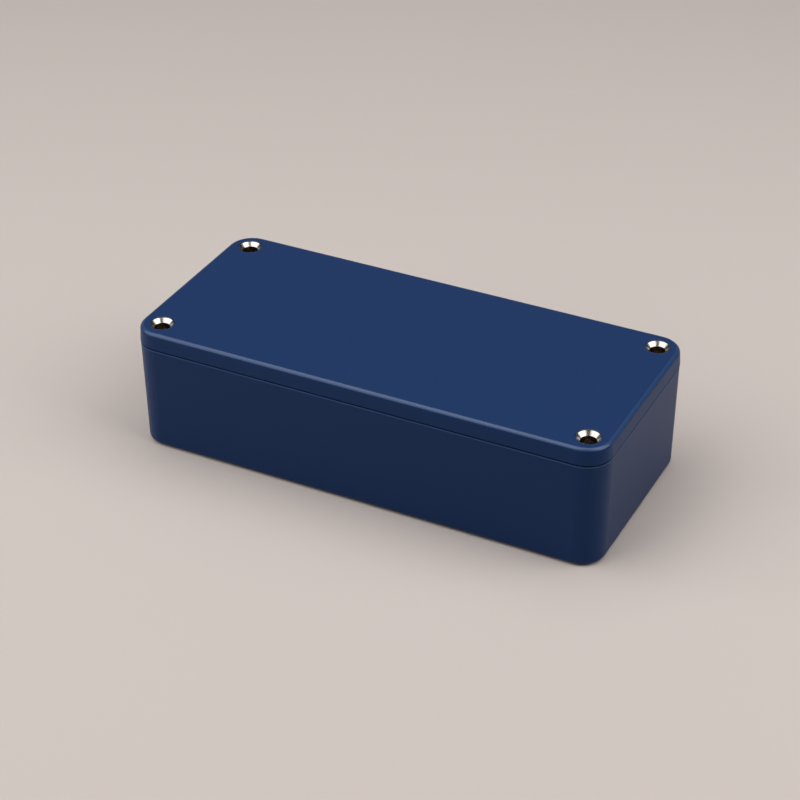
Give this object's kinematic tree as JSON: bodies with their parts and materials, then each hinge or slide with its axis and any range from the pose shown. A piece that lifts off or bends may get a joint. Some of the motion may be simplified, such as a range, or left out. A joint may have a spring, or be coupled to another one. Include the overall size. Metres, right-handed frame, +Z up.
{
  "type": "die cast aluminium box",
  "caption": "Small rectangular die cast aluminium box in blue paint: a deep drafted base with screw pillars and a lapped lid with open countersunk screw holes.",
  "frame": {"origin": "centre of the outer length and width, on the flat underside of the base", "axes": "+Z up from the base to the lid, +X along the length of the box, +Y across its width"},
  "size_m": [0.114, 0.0502, 0.0302],
  "materials": {
    "base_paint": "satin blue paint on die cast aluminium",
    "lid_paint": "satin blue paint, with bare machined countersinks and bores"
  },
  "bodies": {
    "root": {"base": "base_paint", "lid": "lid_paint"}
  },
  "joints": []
}
